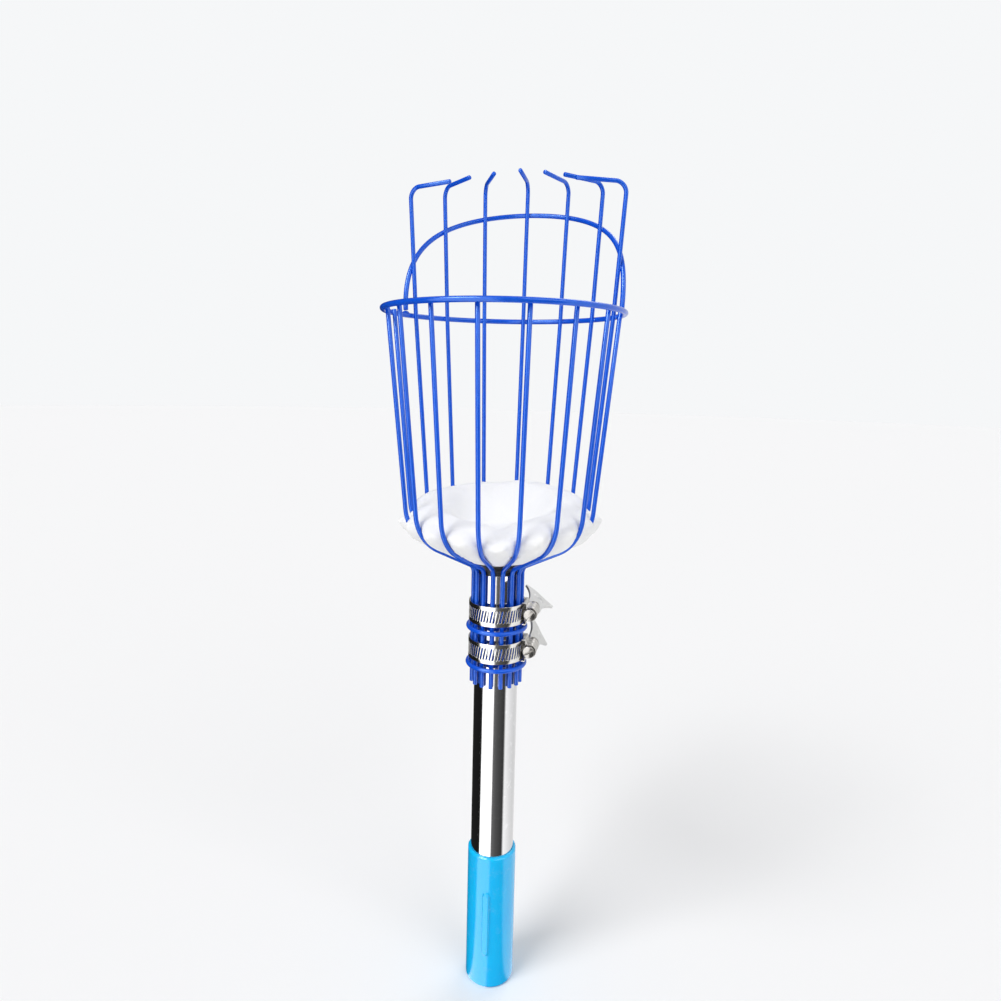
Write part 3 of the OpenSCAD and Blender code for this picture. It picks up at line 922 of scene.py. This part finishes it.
def thick(piece, thickness, bevel):
    """Gives a sheet its thickness, half to each side, and breaks its edges."""
    solid = piece.modifiers.new("thickness", "SOLIDIFY")
    solid.thickness = thickness
    solid.offset = 0
    break_edges(piece, bevel, 50)


band_cells = 54
housing_half_turn = math.radians(19)
tail_first = math.radians(12)
tail_cells = 7
cell_turn = 2 * math.pi / band_cells
clamp_heights = {}


def ring_slotted(cell):
    """The strip is slotted all round, but for its stretch under the housing."""
    middle = (cell + 0.5) * cell_turn
    return housing_half_turn < middle < 2 * math.pi - housing_half_turn


for side in ("upper", "lower"):
    low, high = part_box(side + "_band")
    clamp_heights[side] = (low.z + high.z) / 2
    bm = bmesh.new()
    slotted_strip(bm, band_inner_r + band_t / 2, 0, 2 * math.pi, band_cells, ring_slotted, closed=True)
    slotted_strip(bm, band_outer_r + 0.00002 + band_t / 2, tail_first, tail_first + tail_cells * cell_turn,
                  tail_cells, lambda cell: cell < tail_cells - 1, closed=False)
    bmesh.ops.recalc_face_normals(bm, faces=bm.faces)
    bmesh.ops.translate(bm, verts=bm.verts, vec=(0, 0, clamp_heights[side]))
    band = finish_mesh(side + "_band_strip", bm, STRIP, side + "_clamp", "clamp_steel", side + "_band")
    thick(band, band_t, 0.00009)

# ---- Worm housings ----
# Pressed stainless saddles that hold the worm down on the strip: side walls as deep as the strip is
# wide, a round arch over the screw, and a rolled lip at each open end. Each is staked to its strip.

worm_bore_r = 0.00385
worm_gap = 0.00025
worm_x = band_outer_r + worm_gap + worm_bore_r
housing_l = 0.012
HOUSING = bright_steel("pressed_housing", (0.66, 0.64, 0.61, 1), (2600, 180, 2600), 0.20, 0.38, 0.00003)

saddle_half_w = band_w / 2 + 0.0005
saddle_rise = 0.001302
saddle_sheet = 0.0005
arch_r = 0.00395
arch_foot_turn = math.radians(96)
arch_step = math.radians(8)
lip_rise = 0.00040
rib_rise = 0.00025


def saddle_section(y, swell):
    """The housing's sheet across the strap at a distance along the screw, as (x, z) points."""
    foot_x = math.sqrt(band_outer_r ** 2 - y * y) + 0.0001
    roof_x = band_outer_r + saddle_rise + swell
    grip = arch_r + swell
    half = [(foot_x, saddle_half_w), (roof_x - 0.0007, saddle_half_w + swell),
            (roof_x - 0.0002, saddle_half_w - 0.0002), (roof_x, saddle_half_w - 0.0007),
            (roof_x + 0.0001, grip * 1.14)]
    half += [(worm_x + grip * math.cos(q), grip * math.sin(q))
             for q in (arch_foot_turn - arch_step * k for k in range(13))]
    half = [point for point in half if point[1] > 0.0004]
    return half + [(worm_x + grip, 0)] + [(x, -z) for x, z in reversed(half)]


for side in ("upper", "lower"):
    bm = bmesh.new()
    rows = []
    stations = 31
    for j in range(stations):
        share = j / (stations - 1) - 0.5
        lip = lip_rise * math.exp(-((abs(share) - 0.47) / 0.030) ** 2)
        rib = rib_rise * math.exp(-((abs(share) - 0.20) / 0.035) ** 2)
        section = saddle_section(share * housing_l, lip + rib)
        rows.append([bm.verts.new((x, share * housing_l, z + clamp_heights[side])) for x, z in section])
    skin(bm, rows, around=False)
    bmesh.ops.recalc_face_normals(bm, faces=bm.faces)
    saddle = finish_mesh(side + "_housing_pressed", bm, HOUSING, side + "_clamp", "clamp_steel",
                         side + "_housing")
    thick(saddle, saddle_sheet, 0.00010)

# ---- Worm screws ----
# Plated steel screws turned from bar: a coarse worm thread, a round slotted flange at the free end
# and a forked head that takes the wing and its rivet.

end_play = 0.0003
flange_r = 0.0038
tip_flange_t = 0.0022
tip_dome = 0.0008
thread_r = 0.0034
head_l = 0.0046
fork_floor = 0.001
driver_slot = (0.0014, 0.0034, 0.0100)
fork_slot_w = 0.0100
fork_slot_l = 0.0080
wing_t = 0.0014
head_y = housing_l / 2 + end_play
thread_pitch = 0.0021
SCREW = bright_steel("plated_screw", (0.42, 0.405, 0.385, 1), (3000, 500, 3000), 0.16, 0.34, 0.00004,
                     smear=160)


def screw_profile():
    """Rings of the turned blank from the slotted tip to the fork, as (y, radius, threaded)."""
    tip_y = -head_y - tip_flange_t
    edge = 0.00045
    rings = [(tip_y - tip_dome * math.cos(math.pi / 2 * k / 6), (flange_r - edge) * k / 6, False)
             for k in range(7)]
    rings += [(tip_y + edge * (1 - math.cos(q)), flange_r - edge * (1 - math.sin(q)), False)
              for q in in_radians((30, 60, 90))]
    rings += [(-head_y - 0.0002, flange_r, False), (-head_y, flange_r - 0.0002, False)]
    count = 90
    rings += [(-head_y + 0.0001 + (2 * head_y - 0.0002) * k / count, thread_r, True)
              for k in range(count + 1)]
    fork_end = head_y + head_l
    rings += [(head_y, flange_r - 0.0002, False), (head_y + 0.0002, flange_r, False),
              (fork_end - 0.0006, flange_r, False)]
    rings += [(fork_end - 0.0006 + 0.0006 * math.sin(q), flange_r - 0.0006 * (1 - math.cos(q)), False)
              for q in in_radians((30, 60, 90))]
    rings += [(fork_end, 0.0, False)]
    return rings


def cut_box(piece, size, centre, turned):
    """Saws a box out of a piece; turned is the piece's own placing matrix."""
    cutter_mesh = bmesh.new()
    bmesh.ops.create_cube(cutter_mesh, size=1)
    for v in cutter_mesh.verts:
        v.co = turned @ (Vector([c * s for c, s in zip(v.co, size)]) + Vector(centre))
    mesh = bpy.data.meshes.new("saw_cut")
    cutter_mesh.to_mesh(mesh)
    cutter_mesh.free()
    cutter = bpy.data.objects.new("saw_cut", mesh)
    bpy.context.collection.objects.link(cutter)
    cut = piece.modifiers.new("cut", "BOOLEAN")
    cut.operation = "DIFFERENCE"
    cut.solver = "EXACT"
    cut.object = cutter
    settled_mesh(piece)
    bpy.data.objects.remove(cutter)


wing_rolls = {"upper": math.radians(42), "lower": math.radians(64)}
screw_places = {}
for side in ("upper", "lower"):
    screw_places[side] = (Matrix.Translation((worm_x, 0, clamp_heights[side]))
                          @ Matrix.Rotation(wing_rolls[side], 4, "Y"))
    bm = bmesh.new()
    sides = 48
    rings = []
    for y, radius, threaded in screw_profile():
        if radius == 0:
            rings.append([bm.verts.new((0, y, 0))])
            continue
        ring = []
        for k, q in enumerate(circle(sides)):
            here = radius
            if threaded:
                phase = (y / thread_pitch - k / sides) % 1
                rise = min(1.0, max(0.0, 2.6 - abs(phase - 0.5) * 7.0))
                fade = min(1.0, (head_y - abs(y)) / 0.0012)
                here = radius - 0.0009 * (1 - rise * fade)
            ring.append(bm.verts.new((here * math.cos(q), y, here * math.sin(q))))
        rings.append(ring)
    for here, there in zip(rings, rings[1:]):
        for k in range(sides):
            n = (k + 1) % sides
            if len(here) == 1:
                bm.faces.new((here[0], there[k], there[n]))
            elif len(there) == 1:
                bm.faces.new((here[k], there[0], here[n]))
            else:
                bm.faces.new((here[k], there[k], there[n], here[n]))
    bmesh.ops.recalc_face_normals(bm, faces=bm.faces)
    bmesh.ops.transform(bm, matrix=screw_places[side], verts=bm.verts)
    screw = finish_mesh(side + "_screw_turned", bm, SCREW, side + "_clamp_screw", "screw_steel",
                        side + "_screw")
    tip_y = -head_y - tip_flange_t
    cut_box(screw, driver_slot, (0, tip_y, 0), screw_places[side])
    cut_box(screw, (fork_slot_w, fork_slot_l, wing_t + 0.0001),
            (0, head_y + fork_floor + fork_slot_l / 2, 0), screw_places[side])
    break_edges(screw, 0.00009, 55)

# ---- Wings ----
# Pressed steel thumb plates, tumbled to a matt grey: a tongue in the screw's fork, concave flanks
# and a wide straight edge, stiffened by a pressed crescent near the flare.

wing_w = 0.023
wing_l = 0.025
wing_colour = (0.66, 0.66, 0.65, 1)


def tumbled_steel():
    material, make, link, shader = new_material("tumbled_steel", wing_colour, metallic=0.85, roughness=0.46)
    grain = placed_group(make, link, GRAIN, Grain_per_metre=2600, Swell_per_metre=300, Swell_share=0.35)
    wear = placed_group(make, link, WEAR, Scuffs_per_metre=260, Rubbed=0.7, Dust=0.15)
    worn_finish(make, link, shader, wing_colour, grain, wear, patches=(0.76, 0.76, 0.75, 1),
                rubbed=(0.84, 0.84, 0.83, 1), rough=(0.36, 0.56), rough_by="Patches", relief=(0.5, 0.00006))
    return material


WING = tumbled_steel()
waist_w = 0.0105
tongue_w = 0.0088
tongue_y = head_y + fork_floor
fork_y = head_y + head_l
outer_y = fork_y + wing_l
flare_start = 0.002
flare_end = 0.0028
corner_l = 0.0022
corner_cut = 0.0016
ear_twist = 0.0013
mark_back = 0.0105
mark_r = 0.0040
mark_w = 0.0005
mark_rise = 0.0009


def wing_half_width(y):
    """Half the plate's width at a distance along the screw: a straight tongue, then a concave flare."""
    start = fork_y + flare_start
    share = min(1.0, max(0.0, (y - start) / (outer_y - flare_end - start)))
    shoulder = eased((y - tongue_y) / (fork_y - tongue_y))
    narrow = (tongue_w + (waist_w - tongue_w) * shoulder) / 2
    flare = narrow + (wing_w / 2 - narrow) * share * share * (0.55 + 0.45 * share)
    corner = max(0.0, (y - (outer_y - corner_l)) / corner_l)
    return flare - corner_cut * corner * corner


def pressed_mark(x, y):
    """Height of the crescent pressed into the plate near its outer edge."""
    off_y = y - (outer_y - mark_back)
    reach = math.hypot(x, off_y)
    turn = math.atan2(x, off_y)
    fade = max(0.0, 1 - (abs(turn) / math.radians(75)) ** 4)
    return mark_rise * fade * math.exp(-((reach - mark_r) / mark_w) ** 2)


wing_rows = 72
wing_columns = 56
for side in ("upper", "lower"):
    bm = bmesh.new()
    grid = []
    for j in range(wing_rows + 1):
        row = []
        for k in range(wing_columns + 1):
            u = 2 * k / wing_columns - 1
            far = outer_y - 0.0012 * abs(u) ** 2.5
            y = tongue_y + (far - tongue_y) * j / wing_rows
            x = u * wing_half_width(y)
            side_share = x / (wing_w / 2)
            ear = max(0.0, (y - fork_y) / wing_l) ** 2 * side_share * abs(side_share)
            row.append(bm.verts.new((x, y, ear_twist * ear + pressed_mark(x, y))))
        grid.append(row)
    skin(bm, grid, around=False)
    bmesh.ops.transform(bm, matrix=screw_places[side], verts=bm.verts)
    wing = finish_mesh(side + "_wing_pressed", bm, WING, side + "_clamp_screw", "wing_steel", side + "_wing")
    thick(wing, wing_t, 0.0003)

# ---- Wing rivets ----
# A short steel rivet through each fork and tongue, peened to a low dome on both sides.

rivet_r = 0.0009
peened_r = rivet_r * 1.45
for side in ("upper", "lower"):
    bm = bmesh.new()
    middle_y = head_y + fork_floor + (head_l - fork_floor) / 2
    reach = flange_r - 0.0003
    profile = [(peened_r * math.cos(q), reach - 0.0006 + 0.00055 * math.sin(q))
               for q in in_radians((0, 20, 40, 60, 75))]
    profile = [(rivet_r, reach - 0.0008), (peened_r, reach - 0.0007)] + profile
    chain = [(r, -z) for r, z in reversed(profile)] + profile
    rings = [[bm.verts.new((r * math.cos(q), middle_y + r * math.sin(q), z)) for q in circle(28)]
             for r, z in chain]
    skin(bm, rings)
    bm.faces.new(list(reversed(rings[0])))
    bm.faces.new(rings[-1])
    bmesh.ops.transform(bm, matrix=screw_places[side], verts=bm.verts)
    finish_mesh(side + "_rivet_peened", bm, SCREW, side + "_clamp_screw", "screw_steel", side + "_wing_rivet")

# ---- Pole tube ----
# Thin-walled stainless tube, drawn and polished: faint lines along its length and handling smears. Its ends
# are cut square and deburred.

tube_colour = (0.80, 0.80, 0.81, 1)
pole_wall = 0.0009
TUBE = bright_steel("polished_tube", tube_colour, (2200, 2200, 14), 0.055, 0.14, 0.000012, smear=14)


def add_lathe(bm, profile, sides, shift=None):
    """Turns a closed (radius, z) profile round the pole; shift may move a point by its angle."""
    rings = []
    for radius, z in profile:
        rings.append([bm.verts.new(around_pole(radius + (shift(radius, z, q) if shift else 0.0), z, q))
                      for q in circle(sides)])
    skin(bm, rings + rings[:1])
    bmesh.ops.recalc_face_normals(bm, faces=bm.faces)


edge = 0.00018
inner = pole_r - pole_wall
tube_profile = ([(pole_r - edge, pole_low.z), (pole_r, pole_low.z + edge)]
                + [(pole_r, pole_low.z + (pole_high.z - pole_low.z) * k / 24) for k in range(1, 24)]
                + [(pole_r, pole_high.z - edge), (pole_r - edge, pole_high.z), (inner + edge, pole_high.z),
                   (inner, pole_high.z - edge), (inner, pole_low.z + edge), (inner + edge, pole_low.z)])
bm = bmesh.new()
add_lathe(bm, tube_profile, sides=128)
finish_mesh("pole_tube_polished", bm, TUBE, "pole", "pole_steel", "pole_tube")

# ---- End cap and threaded plug ----
# Black polypropylene mouldings pressed into the tube: a domed cap that closes its top under the pad,
# and a plug whose coarse thread screws into the coupling.

cap_colour = (0.018, 0.018, 0.019, 1)


def black_moulding():
    material, make, link, shader = new_material("black_moulding", cap_colour, roughness=0.45)
    grain = placed_group(make, link, GRAIN, Grain_per_metre=2400, Swell_per_metre=200, Swell_share=0.3)
    wear = placed_group(make, link, WEAR, Scuffs_per_metre=180, Rubbed=0.5, Dust=0.5)
    worn_finish(make, link, shader, cap_colour, grain, wear, rubbed=(0.07, 0.07, 0.07, 1),
                dusty=(0.25, 0.24, 0.22, 1), rough=(0.38, 0.55), rough_by="Patches", relief=(0.5, 0.00008))
    return material


BLACK = black_moulding()
cap_low, cap_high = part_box("tube_end_cap")
cap_top = cap_high.z
cap_profile = [(inner - 0.0025, cap_low.z), (inner - 0.0005, cap_low.z), (inner, cap_low.z + 0.0005)]
cap_profile += [(inner, pole_high.z), (pole_r - 0.0003, pole_high.z + 0.00002),
                (pole_r, pole_high.z + 0.0003)]
cap_profile += [(pole_r - 0.0014 * (1 - math.cos(q)), cap_top - 0.0014 * (1 - math.sin(q)))
                for q in in_radians(range(0, 91, 15))]
cap_profile += [(pole_r - 0.0040, cap_top - 0.00003), (pole_r - 0.0044, cap_top - 0.0005),
                (0.0005, cap_top - 0.0005), (0.0005, cap_top - 0.0025), (inner - 0.0025, cap_top - 0.0025)]
bm = bmesh.new()
add_lathe(bm, cap_profile, sides=96)
finish_mesh("tube_end_cap_moulded", bm, BLACK, "pole", "black_plastic", "tube_end_cap")

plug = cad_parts["thread_plug"]
plug.data.materials.clear()
plug.data.materials.append(BLACK)

# ---- Coupling ----
# Sky-blue ABS sleeve, injection moulded: chamfered mouths, a low rib down the front for the thumb,
# a parting line on each side, and a slightly milky depth to the colour.

coupling_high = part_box("coupling_sleeve")[1]
coupling_r = coupling_high.x
coupling_l = coupling_high.z
socket_r = pole_r + 0.00005
socket_depth = 0.038
web_top = 0.054
web_r = 0.01008
rib_h = 0.0015
rib_w = 0.0045
rib_l = 0.044
chamfer = 0.0012
cyan_colour = (0.0, 0.53, 0.97, 1)
cyan_deep_colour = (0.0, 0.46, 0.93, 1)


def sky_blue_moulding():
    material, make, link, shader = new_material("sky_blue_moulding", cyan_colour, roughness=0.26, coat=0.35,
                                                coat_roughness=0.08)
    shader.inputs["Subsurface Weight"].default_value = 0.15
    shader.inputs["Subsurface Radius"].default_value = (0.0008, 0.0025, 0.004)
    shader.inputs["Subsurface Scale"].default_value = 1.0
    grain = placed_group(make, link, GRAIN, Grain_per_metre=1800, Swell_per_metre=45, Swell_share=0.6)
    wear = placed_group(make, link, WEAR, Scuffs_per_metre=120, Rubbed=0.35, Dust=0.15)
    worn_finish(make, link, shader, cyan_colour, grain, wear, patches=cyan_deep_colour,
                rubbed=(0.08, 0.50, 0.92, 1), rough=(0.22, 0.42))
    return material


def coupling_relief(radius, z, q):
    """The raised rib at the front and the fine parting line at each side of the sleeve."""
    if radius < coupling_r - 0.00001:
        return 0.0
    off_front = abs(q % (2 * math.pi) - math.pi) * coupling_r
    end_off = max(0.0, abs(z - coupling_l / 2) - (rib_l - rib_w) / 2)
    from_spine = math.hypot(off_front, end_off)
    rib = rib_h * eased((rib_w / 2 - from_spine) / 0.0006)
    parting = min(abs(math.sin(q - math.pi / 2)), 1.0) * coupling_r
    line = 0.00012 if abs(math.sin(q)) > 0.99 and parting < 0.00018 else 0.0
    return rib + line


outer_rows = [(coupling_r, chamfer + (coupling_l - 2 * chamfer) * k / 130) for k in range(131)]
coupling_profile = [(coupling_r - chamfer, 0), (coupling_r - chamfer + 0.0002, 0.0001)]
coupling_profile += [(coupling_r - 0.0002, chamfer - 0.0003)] + outer_rows
coupling_profile += [(coupling_r - 0.0002, coupling_l - chamfer + 0.0003),
                     (coupling_r - chamfer + 0.0002, coupling_l - 0.0001), (coupling_r - chamfer, coupling_l),
                     (socket_r + 0.0001, coupling_l), (socket_r, coupling_l - 0.0001), (socket_r, web_top),
                     (web_r, web_top), (web_r, socket_depth), (socket_r, socket_depth), (socket_r, 0.0001),
                     (socket_r + 0.0001, 0)]
bm = bmesh.new()
add_lathe(bm, coupling_profile, sides=300, shift=coupling_relief)
finish_mesh("coupling_sleeve_moulded", bm, sky_blue_moulding(), "coupling", "cyan_plastic", "coupling_sleeve")
